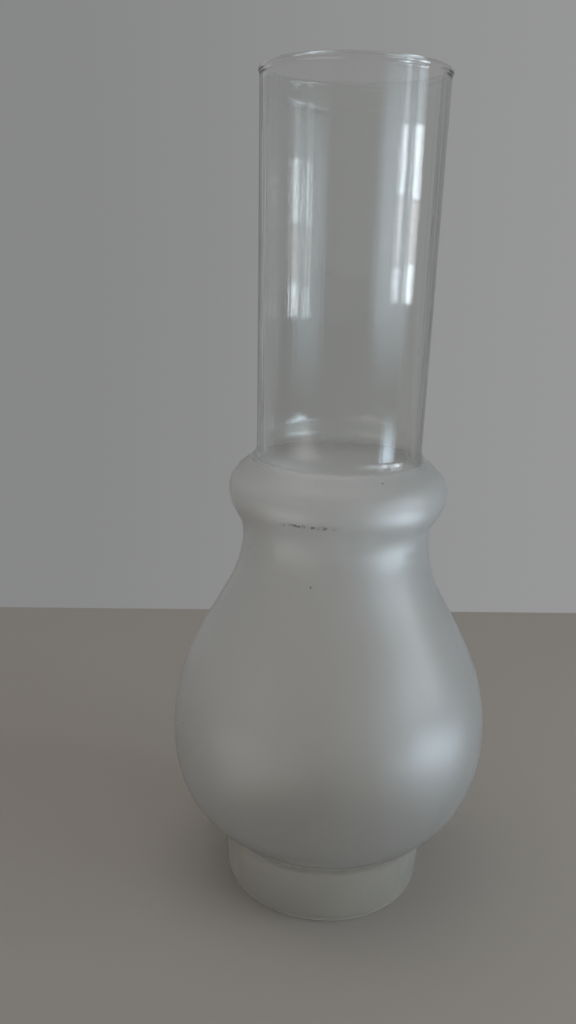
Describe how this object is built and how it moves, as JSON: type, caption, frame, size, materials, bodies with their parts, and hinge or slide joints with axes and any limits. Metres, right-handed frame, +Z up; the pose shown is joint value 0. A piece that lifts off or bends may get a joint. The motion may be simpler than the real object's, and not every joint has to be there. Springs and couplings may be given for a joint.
{
  "type": "oil lamp chimney glass",
  "caption": "Tall blown glass chimney for an oil lamp: clear tubular flue over a ring-shaped shoulder, satin pear-shaped bulb and a short collar that stands in the burner.",
  "frame": {"origin": "on the axis, in the plane of the foot's flat underside", "axes": "+Z up along the axis, from the foot to the mouth of the flue; every direction round the axis is alike"},
  "size_m": [0.0962, 0.0962, 0.24],
  "materials": {
    "clear_glass": "clear blown glass with faint vertical drawing lines and a fire-polished edge",
    "satin_glass": "even satin-etched glass, translucent, with a soft broad sheen",
    "foot_glass": "lightly etched glass, a little darker and greener than the bulb"
  },
  "bodies": {
    "root": {"foot_rim": "foot_glass", "foot_collar": "foot_glass", "bulb_lower": "satin_glass", "bulb_upper": "satin_glass", "neck": "satin_glass", "shoulder_bead": "satin_glass", "flue": "clear_glass", "flue_lip": "clear_glass"}
  },
  "joints": []
}
